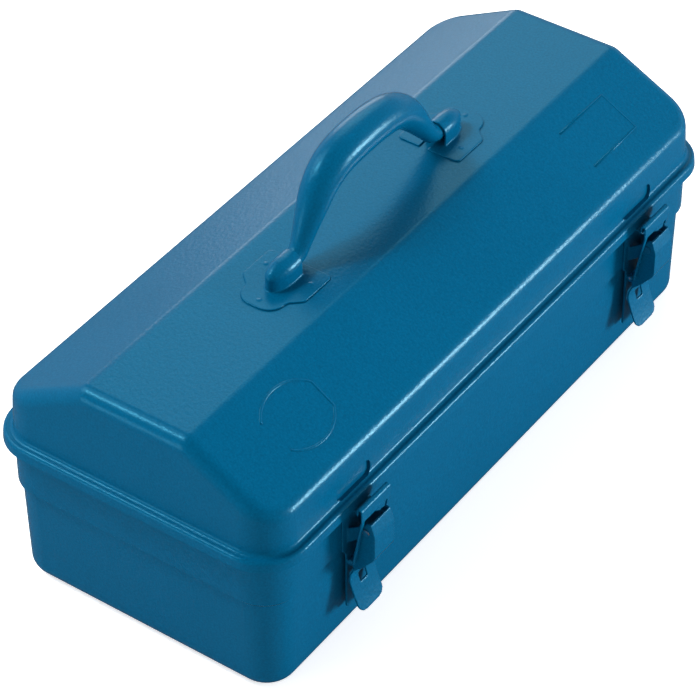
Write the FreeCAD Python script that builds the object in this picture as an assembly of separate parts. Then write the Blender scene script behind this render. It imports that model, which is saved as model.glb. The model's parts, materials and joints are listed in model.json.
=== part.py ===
import FreeCAD, Part
import math
import os
from FreeCAD import Vector

# Two-piece drawn steel tool box: a tray, a roof-shaped lid on two rear hinges, a standing bail handle
# held by two domed brackets, and two draw latches on the front.
# Frame: +X along the length, -Y is the latch side, +Z up. The origin is the middle of the base, on
# the surface that the box stands on. All sizes are in millimetres.

# --- overall sizes ---------------------------------------------------------------------------
RIM_LENGTH = 412.0            # over the lid's skirt
RIM_WIDTH = 182.0
RIM_CORNER_RADIUS = 26.0      # vertical corners, measured at the skirt
LID_TOP_HEIGHT = 148.0        # flat of the roof above the floor
SHEET = 0.8                   # drawn sheet of tray and lid

# --- lid -------------------------------------------------------------------------------------
SHELF_HEIGHT = 97.5           # top of the flange that rests over the tray's bead
SKIRT_DEPTH = 6.0             # skirt that hangs from the flange
SKIRT_FLARE = 0.6
SKIRT_EDGE_RADIUS = 2.2
LID_WALL_INSET = 5.4          # lid wall behind the skirt's outer edge
LID_WALL_ROOT_RADIUS = 2.4
LID_DRAFT = 3.5               # degrees
LID_WALL_RISE = 22.5          # from the flange to where wall and roof slope would meet if sharp
ROOF_FLAT_WIDTH = 64.0
RIDGE_RADIUS = 9.0
ROOF_EDGE_RADIUS = 8.0
RECESS_WIDTH = 29.0           # pressed pocket in the wall above each catch
RECESS_TALL = 9.0
RECESS_CORNER_RADIUS = 4.0
RECESS_DEPTH = 1.5
RECESS_RAISE = 4.9            # its middle above the flange, so that it opens into the wall's root

# --- tray ------------------------------------------------------------------------------------
BAND_INSET = 5.6              # upper band behind the skirt's outer edge
BAND_TALL = 34.0              # from the lid's flange down to the joggle above the lower wall
STEP_DEPTH = 2.3
STEP_RISE = 3.0
TRAY_TAPER = 1.0              # how far the lower wall leans in down to the floor
TRAY_BASE_RADIUS = 9.0
BEAD_RADIUS = 2.0             # rolled edge
SEAT_CLEARANCE = 0.3          # bead to lid flange

# --- handle and its brackets -------------------------------------------------------------------
HANDLE_AXIS_RISE = 7.5        # pivot above the roof flat
BRACKET_MOUTH = 64.5          # open end of each dome from the middle of the box
BRACKET_SHEET = 1.2
DOME_STRAIGHT = 8.0
DOME_NOSE = 13.0
NOSE_FLAT_RADIUS = 3.0        # blunt tip of the dome
JOURNAL_RADIUS = 5.0
JOURNAL_LENGTH = 9.0           # inside the dome
JOURNAL_CLEARANCE = 0.35
JOURNAL_TIP_CHAMFER = 1.5
PAD_THICKNESS = 1.0
PAD_INNER_MARGIN = 7.5        # pad reaches this far in front of the dome's mouth
PAD_SHOULDER_HALF_WIDTH = 19.5
PAD_SHOULDER_LENGTH = 24.0
PAD_SCALLOP = 6.0             # length over which the shoulder narrows to the lobe
PAD_LOBE_HALF_WIDTH = 12.5
PAD_LENGTH = 41.0
PAD_CORNER_RADIUS = 3.0
PAD_SCALLOP_RADIUS = 5.0
PAD_LOBE_RADIUS = 9.0
PAD_DOME_FILLET = 1.6
HANDLE_RISE = 38.6            # middle of the grip above the pivot
GRIP_DEPTH = 22.0             # across the box
GRIP_THICKNESS = 20.5         # up and down
HANDLE_LEAN = 5.0             # degrees from upright towards the hinges, as it stands at rest
FOOT_BALL_RADIUS = 5.9
OVAL_MARGIN = 0.001           # keeps the long axis of a section across the box
# Bail from its left foot up to the grip: place along the box, height above the pivot,
# thickness, depth across the box. It is mirrored about the middle of the grip.
BAIL_ARM = [(-61.0, 0.0, 11.0, 11.0), (-46.0, 20.5, 14.5, 16.0), (-39.5, 29.5, 17.2, 18.8),
            (-32.0, 35.6, 19.4, 20.8), (-20.0, 38.4, GRIP_THICKNESS, GRIP_DEPTH)]
BAIL_SECTIONS = 23

# --- draw latches; heights are measured up from the top of the lid's flange -----------------------
LATCH_END_DISTANCE = 73.0     # from the rim's end to a latch's middle
LATCH_SHEET = 1.0
BASE_SHEET = 1.2
BASE_WIDTH = 22.0
BASE_BOTTOM = -77.0           # the plate hangs behind the tab, clear of the stepped wall
BASE_TALL = 68.0
BASE_CORNER_RADIUS = 3.0
LEVER_PIVOT_OUT = 13.4        # pivot in front of the band
LEVER_PIVOT_HEIGHT = -16.5
LEVER_PIN_RADIUS = 1.5
PIN_HEAD_RADIUS = 2.3
PIN_HEAD_THICKNESS = 0.5
PIN_HEAD_GAP = 0.15           # head to the lever's flange
EAR_RADIUS = 3.3
EAR_ROOT_TALL = 9.5           # height of the ear where it leaves the plate
EAR_ROOT_BOTTOM = -31.0
EAR_HALF_SPAN = 7.2           # outside of the ears
LINK_PIVOT_OUT = 6.4
LINK_PIVOT_HEIGHT = -37.5
LINK_PIN_RADIUS = 1.3
PIVOT_CLEARANCE = 0.1
SIDE_CLEARANCE = 0.4
LEVER_HALF_WIDTH = EAR_HALF_SPAN + SIDE_CLEARANCE + LATCH_SHEET
TAB_HALF_WIDTH = 10.3
TAB_CORNER_RADIUS = 4.5
LEVER_TOP = -10.5
LEVER_BULGE_TOP = -17.5
LEVER_BULGE_BOTTOM = -33.0
LEVER_NECK = -47.5
LEVER_TAB_ROOT = -53.5
LEVER_BOTTOM = -73.0
LEVER_BULGE_OUT = 18.6
LEVER_TOP_OUT = 16.2
LEVER_NECK_OUT = 7.0
LEVER_TAB_OUT = 16.2
LEVER_BENDS = (5.0, 7.0, 2.5, 9.0)
LEVER_TOP_CORNER_RADIUS = 1.5
TAB_SHOULDER_TALL = 1.5       # the tab is wider than the neck from here down
TAB_SHOULDER_RADIUS = 0.7
# Rear edge of each side flange from the neck up: distance in front of the band, height, radius.
FLANGE_BACK = [(5.2, -43.5, 2.0), (4.2, -37.5, 3.0), (8.8, -29.5, 5.0), (10.6, -14.5, 3.0),
               (13.6, -10.5, 0.6)]
FLANGE_TIP_RADIUS = 0.6
PADLOCK_HOLE = 6.0
PADLOCK_HOLE_HEIGHT = -56.0
LINK_HALF_WIDTH = 12.3
LINK_WINDOW_HALF_WIDTH = LEVER_HALF_WIDTH + 1.0
LINK_BEND_RADIUS = 4.0
LINK_CURL_RISE = 0.8          # free end of each eye above the pin's middle
LINK_WINDOW_TOP = -7.3
LINK_TOP = 0.9
HOOK_GAP = 1.5                # inside width of the rolled hook
HOOK_LIP_TALL = 3.8
HOOK_CLEARANCE = 0.5          # hook to the catch's lip
CATCH_WIDTH = 14.0
CATCH_STRIP_MARGIN = 0.6      # welded strip ends this far below the skirt's rounding
CATCH_LIP_OUT = 4.1           # outside of the catch's lip in front of the skirt
CATCH_BOTTOM = -8.6
CATCH_LIP_TOP = -3.5
CATCH_BEND_RADIUS = 1.2

# --- rear hinges -------------------------------------------------------------------------------
HINGE_END_DISTANCE = 88.0     # from the rim's end to a hinge's middle
HINGE_WIDTH = 40.0
HINGE_SHEET = 1.1
HINGE_PIN_RADIUS = 1.42
HINGE_PIN_CLEARANCE = 0.08
HINGE_GAP = 0.6               # knuckle behind the skirt
HINGE_DROP = 0.7              # pivot below the skirt's edge
HINGE_LEAF_DROP = 31.5        # tray leaf below the top of the lid's flange
HINGE_LEAF_RISE = 16.5        # lid leaf above it
HINGE_BEND_RADIUS = 1.2
HINGE_ROOT_RADIUS = 3.4       # bend of the lid leaf that clears the root of the lid's wall
HINGE_BRIDGE_LIFT = 0.7       # underside of the lid leaf above the flange
HINGE_BRIDGE_INSET = 3.0      # its bridge narrows this far outside the lid's wall
KNUCKLE_MIDDLE = 16.0
KNUCKLE_SIDE_GAP = 0.4
CURL_OVERLAP = 1.0            # how far each curl runs past the top of its pin

# --- values worked out from the sizes above ------------------------------------------------------
HALF_LENGTH = RIM_LENGTH / 2
HALF_WIDTH = RIM_WIDTH / 2
LID_TAN = math.tan(math.radians(LID_DRAFT))
BAND_FACE = HALF_WIDTH - BAND_INSET
SKIRT_BOTTOM = SHELF_HEIGHT - SKIRT_DEPTH
STEP_HEIGHT = SHELF_HEIGHT - BAND_TALL
SLOPE_FOOT_HEIGHT = SHELF_HEIGHT + LID_WALL_RISE
HINGE_LEAF_BOTTOM = SHELF_HEIGHT - HINGE_LEAF_DROP
HINGE_LEAF_TOP = SHELF_HEIGHT + HINGE_LEAF_RISE
BEAD_TOP = SHELF_HEIGHT - SHEET - SEAT_CLEARANCE
HANDLE_AXIS_HEIGHT = LID_TOP_HEIGHT + HANDLE_AXIS_RISE
KNUCKLE_RADIUS = HINGE_PIN_RADIUS + HINGE_PIN_CLEARANCE + HINGE_SHEET
HINGE_AXIS_Y = HALF_WIDTH + HINGE_GAP + KNUCKLE_RADIUS
HINGE_AXIS_Z = SKIRT_BOTTOM - HINGE_DROP
LEVER_PIVOT = (-BAND_FACE - LEVER_PIVOT_OUT, LEVER_PIVOT_HEIGHT)
LINK_PIVOT = (-BAND_FACE - LINK_PIVOT_OUT, LINK_PIVOT_HEIGHT)
CATCH_LIP_FACE = -HALF_WIDTH - CATCH_LIP_OUT
LATCH_MIDDLE = HALF_LENGTH - LATCH_END_DISTANCE
HINGE_MIDDLE = HALF_LENGTH - HINGE_END_DISTANCE
LATCH_MIDDLES = {"left": -LATCH_MIDDLE, "right": LATCH_MIDDLE}
HINGE_MIDDLES = {"left": -HINGE_MIDDLE, "right": HINGE_MIDDLE}


# --- flat sections ---------------------------------------------------------------------------------
def in_xz(u, v):
    return Vector(u, 0, v)


def in_yz(u, v):
    return Vector(0, u, v)


def in_xy(u, v):
    return Vector(u, v, 0)


def unit(a, b):
    """Direction from point a to point b in the plane."""
    length = math.hypot(b[0] - a[0], b[1] - a[1])
    return ((b[0] - a[0]) / length, (b[1] - a[1]) / length)


def turn(a, b, c):
    """Signed turning angle at b on the way a, b, c; positive to the left."""
    d, e = unit(a, b), unit(b, c)
    return math.atan2(d[0] * e[1] - d[1] * e[0], d[0] * e[0] + d[1] * e[1])


def rounded_corner(a, b, c, radius):
    """Start, middle and end of the arc that rounds the corner b."""
    angle = turn(a, b, c)
    reach = radius * math.tan(abs(angle) / 2)
    d, e = unit(a, b), unit(b, c)
    start = (b[0] - d[0] * reach, b[1] - d[1] * reach)
    end = (b[0] + e[0] * reach, b[1] + e[1] * reach)
    side = math.copysign(1, angle)
    centre = (start[0] - side * d[1] * radius, start[1] + side * d[0] * radius)
    towards = unit(centre, b)
    middle = (centre[0] + towards[0] * radius, centre[1] + towards[1] * radius)
    return start, middle, end


def path_edges(points, radii, place, closed=False):
    """Lines through the points, with each inner corner rounded by its radius (0 keeps it sharp)."""
    count = len(points)
    edges = []
    previous = None
    first = None
    order = range(count) if closed else range(1, count - 1)
    if not closed:
        previous = points[0]
    for i in order:
        corner = points[i]
        if radii[i] > 0:
            start, middle, end = rounded_corner(points[i - 1], corner, points[(i + 1) % count], radii[i])
        else:
            start, middle, end = corner, None, corner
        if previous is None:
            first = start
        elif math.dist(previous, start) > 1e-6:
            edges.append(Part.LineSegment(place(*previous), place(*start)).toShape())
        if middle is not None:
            edges.append(Part.Arc(place(*start), place(*middle), place(*end)).toShape())
        previous = end
    last = first if closed else points[-1]
    if math.dist(previous, last) > 1e-6:
        edges.append(Part.LineSegment(place(*previous), place(*last)).toShape())
    return edges


def outline_face(points, radii, place):
    """Face inside a closed outline with rounded corners."""
    return Part.Face(Part.Wire(Part.__sortEdges__(path_edges(points, radii, place, closed=True))))


def shifted_left(points, distance):
    """The same polyline, moved to its left by a distance."""
    moved = []
    for i, point in enumerate(points):
        before = unit(points[i - 1], point) if i > 0 else unit(point, points[i + 1])
        after = unit(point, points[i + 1]) if i < len(points) - 1 else before
        normal = (-before[1] - after[1], before[0] + after[0])
        scale = distance / (1 + before[0] * after[0] + before[1] * after[1])
        moved.append((point[0] + normal[0] * scale, point[1] + normal[1] * scale))
    return moved


def sheet_section(points, radii, thickness, place):
    """Section of a bent sheet: one face follows the points, the other lies to their left."""
    others = shifted_left(points, thickness)
    other_radii = list(radii)
    for i in range(1, len(points) - 1):
        if radii[i] > 0:
            side = math.copysign(1, turn(points[i - 1], points[i], points[i + 1]))
            other_radii[i] = radii[i] - side * thickness
    edges = path_edges(points, radii, place)
    edges += path_edges(others, other_radii, place)
    edges.append(Part.LineSegment(place(*points[0]), place(*others[0])).toShape())
    edges.append(Part.LineSegment(place(*points[-1]), place(*others[-1])).toShape())
    return Part.Face(Part.Wire(Part.__sortEdges__(edges)))


# --- solids ------------------------------------------------------------------------------------------
def around_rim(section):
    """Run a section round the box. Its x is measured outwards from the skirt's outer edge."""
    straight_x = HALF_LENGTH - RIM_CORNER_RADIUS
    straight_y = HALF_WIDTH - RIM_CORNER_RADIUS
    corners = [(straight_x, straight_y), (-straight_x, straight_y),
               (-straight_x, -straight_y), (straight_x, -straight_y)]
    pieces = []
    for quarter, (x, y) in enumerate(corners):
        corner = section.copy()
        corner.translate(Vector(RIM_CORNER_RADIUS, 0, 0))
        corner = corner.revolve(Vector(0, 0, 0), Vector(0, 0, 1), 90)
        corner.rotate(Vector(0, 0, 0), Vector(0, 0, 1), 90 * quarter)
        corner.translate(Vector(x, y, 0))
        run_length = 2 * (straight_x if quarter % 2 == 0 else straight_y)
        side = section.copy()
        side.translate(Vector(RIM_CORNER_RADIUS, 0, 0))
        side = side.extrude(Vector(0, run_length, 0))
        side.rotate(Vector(0, 0, 0), Vector(0, 0, 1), 90 * (quarter + 1))
        side.translate(Vector(x, y, 0))
        pieces += [corner, side]
    return pieces


def joined(pieces):
    """One solid from pieces that touch or overlap."""
    shape = pieces[0].multiFuse(pieces[1:]) if len(pieces) > 1 else pieces[0]
    return shape.removeSplitter()


def across(face, half_width):
    """Extrude a face in the YZ plane to both sides of the plane."""
    solid = face.extrude(Vector(2 * half_width, 0, 0))
    solid.translate(Vector(-half_width, 0, 0))
    return solid


def rod(x_from, x_to, centre, radius):
    """Cylinder along X through a point of the YZ plane."""
    return Part.makeCylinder(radius, x_to - x_from, Vector(x_from, *centre), Vector(1, 0, 0))


def block(x_from, x_to, y_from, y_to, z_from, z_to):
    return Part.makeBox(x_to - x_from, y_to - y_from, z_to - z_from, Vector(x_from, y_from, z_from))


def disc_face(centre, radius):
    """Round face in the YZ plane."""
    circle = Part.Circle(Vector(0, *centre), Vector(1, 0, 0), radius)
    return Part.Face(Part.Wire(circle.toShape()))


def placed(shape, x, z=0):
    """Copy of a shape built at the middle of the box, moved along it and up."""
    copy = shape.copy()
    copy.translate(Vector(x, 0, z))
    return copy


# --- tray --------------------------------------------------------------------------------------------
def tray_shell():
    """Drawn tray: floor, leaning wall, joggle, upper band and a wired edge rolled outwards."""
    lower = -(BAND_INSET + STEP_DEPTH)
    foot = lower - TRAY_TAPER
    bead_height = BEAD_TOP - BEAD_RADIUS
    points = [(-RIM_CORNER_RADIUS, 0), (foot, 0), (lower, STEP_HEIGHT - STEP_RISE),
              (-BAND_INSET, STEP_HEIGHT), (-BAND_INSET, bead_height)]
    sheet = sheet_section(points, [0, TRAY_BASE_RADIUS, 0, 0, 0], SHEET, in_xz)
    middle = in_xz(-BAND_INSET - SHEET + BEAD_RADIUS, bead_height)
    ring = Part.Circle(middle, Vector(0, 1, 0), BEAD_RADIUS).toShape()
    section = sheet.fuse(Part.Face(Part.Wire(ring))).removeSplitter()
    wall = around_rim(section.Faces[0])
    floor = block(-HALF_LENGTH + RIM_CORNER_RADIUS, HALF_LENGTH - RIM_CORNER_RADIUS,
                  -HALF_WIDTH + RIM_CORNER_RADIUS, HALF_WIDTH - RIM_CORNER_RADIUS, 0, SHEET)
    return joined(wall + [floor])


# --- lid ---------------------------------------------------------------------------------------------
def lid_wall_inset(height):
    """How far the outer face of the lid's wall lies behind the skirt at a height."""
    return LID_WALL_INSET + (height - SHELF_HEIGHT) * LID_TAN


def roof_block(shrink):
    """Solid roof above the wall joint, each face moved inwards by a distance."""
    joint = wall_joint_height()
    top = LID_TOP_HEIGHT + 1
    lean = shrink / math.cos(math.radians(LID_DRAFT))
    wall = outline_face([(-lid_wall_inset(joint) - lean, joint), (-lid_wall_inset(top) - lean, top),
                         (-RIM_CORNER_RADIUS, top), (-RIM_CORNER_RADIUS, joint)], [0] * 4, in_xz)
    core = block(-HALF_LENGTH + RIM_CORNER_RADIUS, HALF_LENGTH - RIM_CORNER_RADIUS,
                 -HALF_WIDTH + RIM_CORNER_RADIUS, HALF_WIDTH - RIM_CORNER_RADIUS, joint, top)
    drafted = joined(around_rim(wall) + [core])
    foot_half = HALF_WIDTH - lid_wall_inset(SLOPE_FOOT_HEIGHT)
    fall = (LID_TOP_HEIGHT - SLOPE_FOOT_HEIGHT) / (foot_half - ROOF_FLAT_WIDTH / 2)
    slope = math.atan(fall)
    crest = LID_TOP_HEIGHT - shrink
    ridge = ROOF_FLAT_WIDTH / 2 - shrink * math.tan(slope / 2)
    wide = HALF_WIDTH
    wide_height = crest - (wide - ridge) * fall
    points = [(-wide, joint), (wide, joint), (wide, wide_height), (ridge, crest), (-ridge, crest),
              (-wide, wide_height)]
    gable = outline_face(points, [0, 0, 0, RIDGE_RADIUS - shrink, RIDGE_RADIUS - shrink, 0], in_yz)
    roof = drafted.common(across(gable, HALF_LENGTH)).removeSplitter()
    edges = [edge for edge in roof.Edges if is_roof_edge(roof, edge)]
    return roof.makeFillet(ROOF_EDGE_RADIUS - shrink, edges)


def wall_joint_height():
    """Height at which the rim ring and the roof are joined: clear of both roundings."""
    return SHELF_HEIGHT + 2 * LID_WALL_ROOT_RADIUS


def is_roof_edge(solid, edge):
    """True for an edge between the upright wall and the roof."""
    steep = []
    for face in solid.ancestorsOfType(edge, Part.Face):
        u, v = face.Surface.parameter(edge.valueAt((edge.FirstParameter + edge.LastParameter) / 2))
        steep.append(abs(face.normalAt(u, v).z) < 0.3)
    above = edge.BoundBox.ZMax > wall_joint_height() + 1
    return above and len(steep) == 2 and steep[0] != steep[1]


def lid_shell():
    """Drawn lid: skirt, flange and lower wall run round the rim, and a hollow roof above them."""
    joint = wall_joint_height()
    top = joint + SHEET
    points = [(0, SKIRT_BOTTOM), (-SKIRT_FLARE, SHELF_HEIGHT), (-LID_WALL_INSET, SHELF_HEIGHT),
              (-lid_wall_inset(top), top)]
    radii = [0, SKIRT_EDGE_RADIUS, LID_WALL_ROOT_RADIUS, 0]
    ring = joined(around_rim(sheet_section(points, radii, SHEET, in_xz)))
    below = block(-RIM_LENGTH, RIM_LENGTH, -RIM_WIDTH, RIM_WIDTH, 0, joint)
    roof = roof_block(0).cut(roof_block(SHEET))
    lid = joined([ring.common(below), roof])
    for x in LATCH_MIDDLES.values():
        lid = lid.fuse(recess_tool(x, SHEET, RECESS_DEPTH + SHEET)).cut(recess_tool(x, 0, RECESS_DEPTH))
    return lid.removeSplitter()


def recess_tool(x, margin, depth):
    """Pocket with rounded corners, sunk into the front wall of the lid from its outer face."""
    half_tall = RECESS_TALL / 2 + margin
    half_wide = RECESS_WIDTH / 2 + margin
    points = [(-half_wide, -half_tall), (half_wide, -half_tall), (half_wide, half_tall),
              (-half_wide, half_tall)]
    face = outline_face(points, [RECESS_CORNER_RADIUS + margin] * 4, in_xz)
    tool = face.extrude(Vector(0, depth, 0))
    if margin == 0:
        tool = face.extrude(Vector(0, depth + SHEET, 0))
        tool.translate(Vector(0, -SHEET, 0))
    height = SHELF_HEIGHT + RECESS_RAISE
    tool.rotate(Vector(0, 0, 0), Vector(1, 0, 0), -LID_DRAFT)
    tool.translate(Vector(x, -HALF_WIDTH + lid_wall_inset(height), height))
    return tool


# --- handle --------------------------------------------------------------------------------------------
def handle_station(middle, direction, thickness, depth):
    """Oval section of the bail, square to its direction, with its long axis across the box."""
    oval = Part.Ellipse(Vector(0, 0, 0), depth / 2 + OVAL_MARGIN, thickness / 2).toShape()
    oval.rotate(Vector(0, 0, 0), Vector(0, 0, 1), 90)
    oval.rotate(Vector(0, 0, 0), Vector(0, 1, 0), math.degrees(math.atan2(direction.x, direction.z)))
    oval.translate(middle)
    return Part.Wire(oval)


def girth_at(out):
    """Thickness and depth of the bail at a distance from the middle of its grip."""
    rows = BAIL_ARM + [(0, HANDLE_RISE, GRIP_THICKNESS, GRIP_DEPTH)]
    for (far, _, thick_far, deep_far), (near, _, thick_near, deep_near) in zip(rows, rows[1:]):
        if -out <= near:
            share = max(0, (-out - far) / (near - far))
            return thick_far + (thick_near - thick_far) * share, deep_far + (deep_near - deep_far) * share


def handle_bail():
    """Bail with a full grip, arms that narrow to ball-ended feet, and a journal on each foot."""
    left = [Vector(out, 0, HANDLE_AXIS_HEIGHT + rise) for out, rise, _, _ in BAIL_ARM]
    right = [Vector(-point.x, 0, point.z) for point in reversed(left)]
    route = Part.BSplineCurve()
    route.interpolate(left + [Vector(0, 0, HANDLE_AXIS_HEIGHT + HANDLE_RISE)] + right)
    sections = []
    for step in range(BAIL_SECTIONS):
        at = route.parameterAtDistance(route.length() * step / (BAIL_SECTIONS - 1), route.FirstParameter)
        middle = route.value(at)
        sections.append(handle_station(middle, route.tangent(at)[0], *girth_at(abs(middle.x))))
    bail = Part.makeLoft(sections, True, True)
    foot = -BAIL_ARM[0][0]
    for side in (-1, 1):
        centre = Vector(side * foot, 0, HANDLE_AXIS_HEIGHT)
        bail = bail.fuse(Part.makeSphere(FOOT_BALL_RADIUS, centre, Vector(side, 0, 0)))
        tip = BRACKET_MOUTH + JOURNAL_LENGTH
        neck = tip - JOURNAL_TIP_CHAMFER
        bail = bail.fuse(Part.makeCylinder(JOURNAL_RADIUS, neck - foot, centre, Vector(side, 0, 0)))
        bail = bail.fuse(Part.makeCone(JOURNAL_RADIUS, JOURNAL_RADIUS - JOURNAL_TIP_CHAMFER,
                                       JOURNAL_TIP_CHAMFER, Vector(side * neck, 0, HANDLE_AXIS_HEIGHT),
                                       Vector(side, 0, 0)))
    bail.rotate(Vector(0, 0, HANDLE_AXIS_HEIGHT), Vector(1, 0, 0), -HANDLE_LEAN)
    return bail


def loaf(radius, start, straight, nose):
    """Tunnel along +X with a round top and a bullet-shaped closed end, standing on the roof flat."""
    drop = radius - NOSE_FLAT_RADIUS
    sweep = (nose * nose + drop * drop) / (2 * drop)
    half_angle = math.asin(nose / sweep) / 2
    side = Vector(straight, radius, 0)
    tip = Vector(straight + nose, NOSE_FLAT_RADIUS, 0)
    middle = Vector(straight + sweep * math.sin(half_angle), radius - sweep * (1 - math.cos(half_angle)), 0)
    corners = [tip, Vector(tip.x, 0, 0), Vector(start, 0, 0), Vector(start, radius, 0), side]
    edges = [Part.LineSegment(a, b).toShape() for a, b in zip(corners, corners[1:])]
    edges.append(Part.Arc(side, middle, tip).toShape())
    half = Part.Face(Part.Wire(Part.__sortEdges__(edges)))
    plan = half.fuse(half.mirror(Vector(0, 0, 0), Vector(0, 1, 0))).removeSplitter()
    walls = plan.Faces[0].extrude(Vector(0, 0, HANDLE_AXIS_RISE))
    top = half.revolve(Vector(0, 0, 0), Vector(1, 0, 0), 180)
    top.translate(Vector(0, 0, HANDLE_AXIS_RISE))
    return joined([top, walls])


def handle_bracket():
    """Pressed bracket for the +X end: a three-lobed pad with a dome that houses the journal."""
    inner_radius = JOURNAL_RADIUS + JOURNAL_CLEARANCE
    outer = loaf(inner_radius + BRACKET_SHEET, 0, DOME_STRAIGHT, DOME_NOSE)
    hollow = loaf(inner_radius, -2 * PAD_INNER_MARGIN, DOME_STRAIGHT, DOME_NOSE - BRACKET_SHEET)
    shoulder = PAD_SHOULDER_LENGTH - PAD_INNER_MARGIN
    end = PAD_LENGTH - PAD_INNER_MARGIN
    half = [(-PAD_INNER_MARGIN, PAD_SHOULDER_HALF_WIDTH), (shoulder, PAD_SHOULDER_HALF_WIDTH),
            (shoulder + PAD_SCALLOP, PAD_LOBE_HALF_WIDTH), (end, PAD_LOBE_HALF_WIDTH)]
    points = [(x, -y) for x, y in half] + half[::-1]
    radii = [PAD_CORNER_RADIUS, PAD_SCALLOP_RADIUS, PAD_SCALLOP_RADIUS, PAD_LOBE_RADIUS]
    pad = outline_face(points, radii + radii[::-1], in_xy).extrude(Vector(0, 0, PAD_THICKNESS))
    bracket = outer.fuse(pad)
    seam = [e for e in bracket.Edges if abs(e.BoundBox.ZMin - PAD_THICKNESS) < 1e-6
            and e.BoundBox.ZLength < 1e-6 and e.BoundBox.YMax < inner_radius + BRACKET_SHEET + 1e-3
            and e.BoundBox.YMin > -inner_radius - BRACKET_SHEET - 1e-3 and e.BoundBox.XMin > -1e-3
            and e.BoundBox.XLength > 1e-3]
    bracket = bracket.makeFillet(PAD_DOME_FILLET, seam)
    bracket = bracket.cut(hollow)
    bracket.translate(Vector(BRACKET_MOUTH, 0, LID_TOP_HEIGHT))
    return bracket


# --- draw latch, built at the middle of the box with the top of the lid's flange at zero height ------
def latch_base():
    """Long base plate, fixed to the band at its top, with two ears that carry the lever's pin."""
    y = -BAND_FACE - BASE_SHEET
    half = BASE_WIDTH / 2
    plate_points = [(-half, BASE_BOTTOM), (half, BASE_BOTTOM), (half, BASE_BOTTOM + BASE_TALL),
                    (-half, BASE_BOTTOM + BASE_TALL)]
    plate = outline_face(plate_points, [BASE_CORNER_RADIUS] * 4, in_xz).extrude(Vector(0, BASE_SHEET, 0))
    plate.translate(Vector(0, y, 0))
    root_top = EAR_ROOT_BOTTOM + EAR_ROOT_TALL
    pivot_y, pivot_z = LEVER_PIVOT
    up = unit((pivot_y, pivot_z), (y, root_top))
    down = unit((pivot_y, pivot_z), (y, EAR_ROOT_BOTTOM))
    web = [(pivot_y - up[1] * EAR_RADIUS, pivot_z + up[0] * EAR_RADIUS),
           (pivot_y + down[1] * EAR_RADIUS, pivot_z - down[0] * EAR_RADIUS),
           (y, EAR_ROOT_BOTTOM), (y, root_top)]
    arm = outline_face(web, [0] * 4, in_yz)
    profile = arm.fuse(disc_face(LEVER_PIVOT, EAR_RADIUS)).removeSplitter()
    profile = profile.cut(disc_face(LEVER_PIVOT, LEVER_PIN_RADIUS))
    ears = []
    for x in (-EAR_HALF_SPAN, EAR_HALF_SPAN - BASE_SHEET):
        ears.append(placed(profile.extrude(Vector(BASE_SHEET, 0, 0)), x))
    return joined([plate] + ears)


def lever_front():
    """Front surface of the lever from its top edge down to the tab's end, with its bend radii."""
    points = [(-BAND_FACE - LEVER_TOP_OUT, LEVER_TOP), (-BAND_FACE - LEVER_BULGE_OUT, LEVER_BULGE_TOP),
              (-BAND_FACE - LEVER_BULGE_OUT, LEVER_BULGE_BOTTOM), (-BAND_FACE - LEVER_NECK_OUT, LEVER_NECK),
              (-BAND_FACE - LEVER_NECK_OUT, LEVER_TAB_ROOT), (-BAND_FACE - LEVER_TAB_OUT, LEVER_BOTTOM)]
    return points, [0, *LEVER_BENDS, 0]


def latch_lever():
    """Pressed lever: a hood with side flanges, a neck, and a finger tab that flares forward."""
    points, radii = lever_front()
    bent = across(sheet_section(points, radii, LATCH_SHEET, in_yz), TAB_HALF_WIDTH)
    half = [(LEVER_HALF_WIDTH, LEVER_TOP), (LEVER_HALF_WIDTH, LEVER_NECK),
            (TAB_HALF_WIDTH, LEVER_NECK - TAB_SHOULDER_TALL), (TAB_HALF_WIDTH, LEVER_BOTTOM)]
    half_radii = [LEVER_TOP_CORNER_RADIUS, TAB_SHOULDER_RADIUS, TAB_SHOULDER_RADIUS, TAB_CORNER_RADIUS]
    front = [(-x, z) for x, z in half] + half[::-1]
    cutter = outline_face(front, half_radii + half_radii[::-1], in_xz)
    cutter = cutter.extrude(Vector(0, -2 * LEVER_BULGE_OUT, 0))
    cutter.translate(Vector(0, -BAND_FACE, 0))
    skin = bent.common(cutter)
    back_points = [(-BAND_FACE - out, height) for out, height, _ in FLANGE_BACK]
    back_radii = [radius for _, _, radius in FLANGE_BACK]
    flange_points = points[:4] + back_points
    flange_radii = [FLANGE_TIP_RADIUS] + radii[1:3] + [FLANGE_TIP_RADIUS] + back_radii
    flange = outline_face(flange_points, flange_radii, in_yz)
    flange = flange.cut(disc_face(LEVER_PIVOT, LEVER_PIN_RADIUS + PIVOT_CLEARANCE))
    flange = flange.cut(disc_face(LINK_PIVOT, LINK_PIN_RADIUS))
    sides = []
    for x in (-LEVER_HALF_WIDTH, LEVER_HALF_WIDTH - LATCH_SHEET):
        sides.append(placed(flange.extrude(Vector(LATCH_SHEET, 0, 0)), x))
    half = PADLOCK_HOLE / 2
    hole = block(-half, half, -BAND_FACE - LEVER_BULGE_OUT, -BAND_FACE,
                 PADLOCK_HOLE_HEIGHT - half, PADLOCK_HOLE_HEIGHT + half)
    return joined([skin] + sides).cut(hole)


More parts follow.
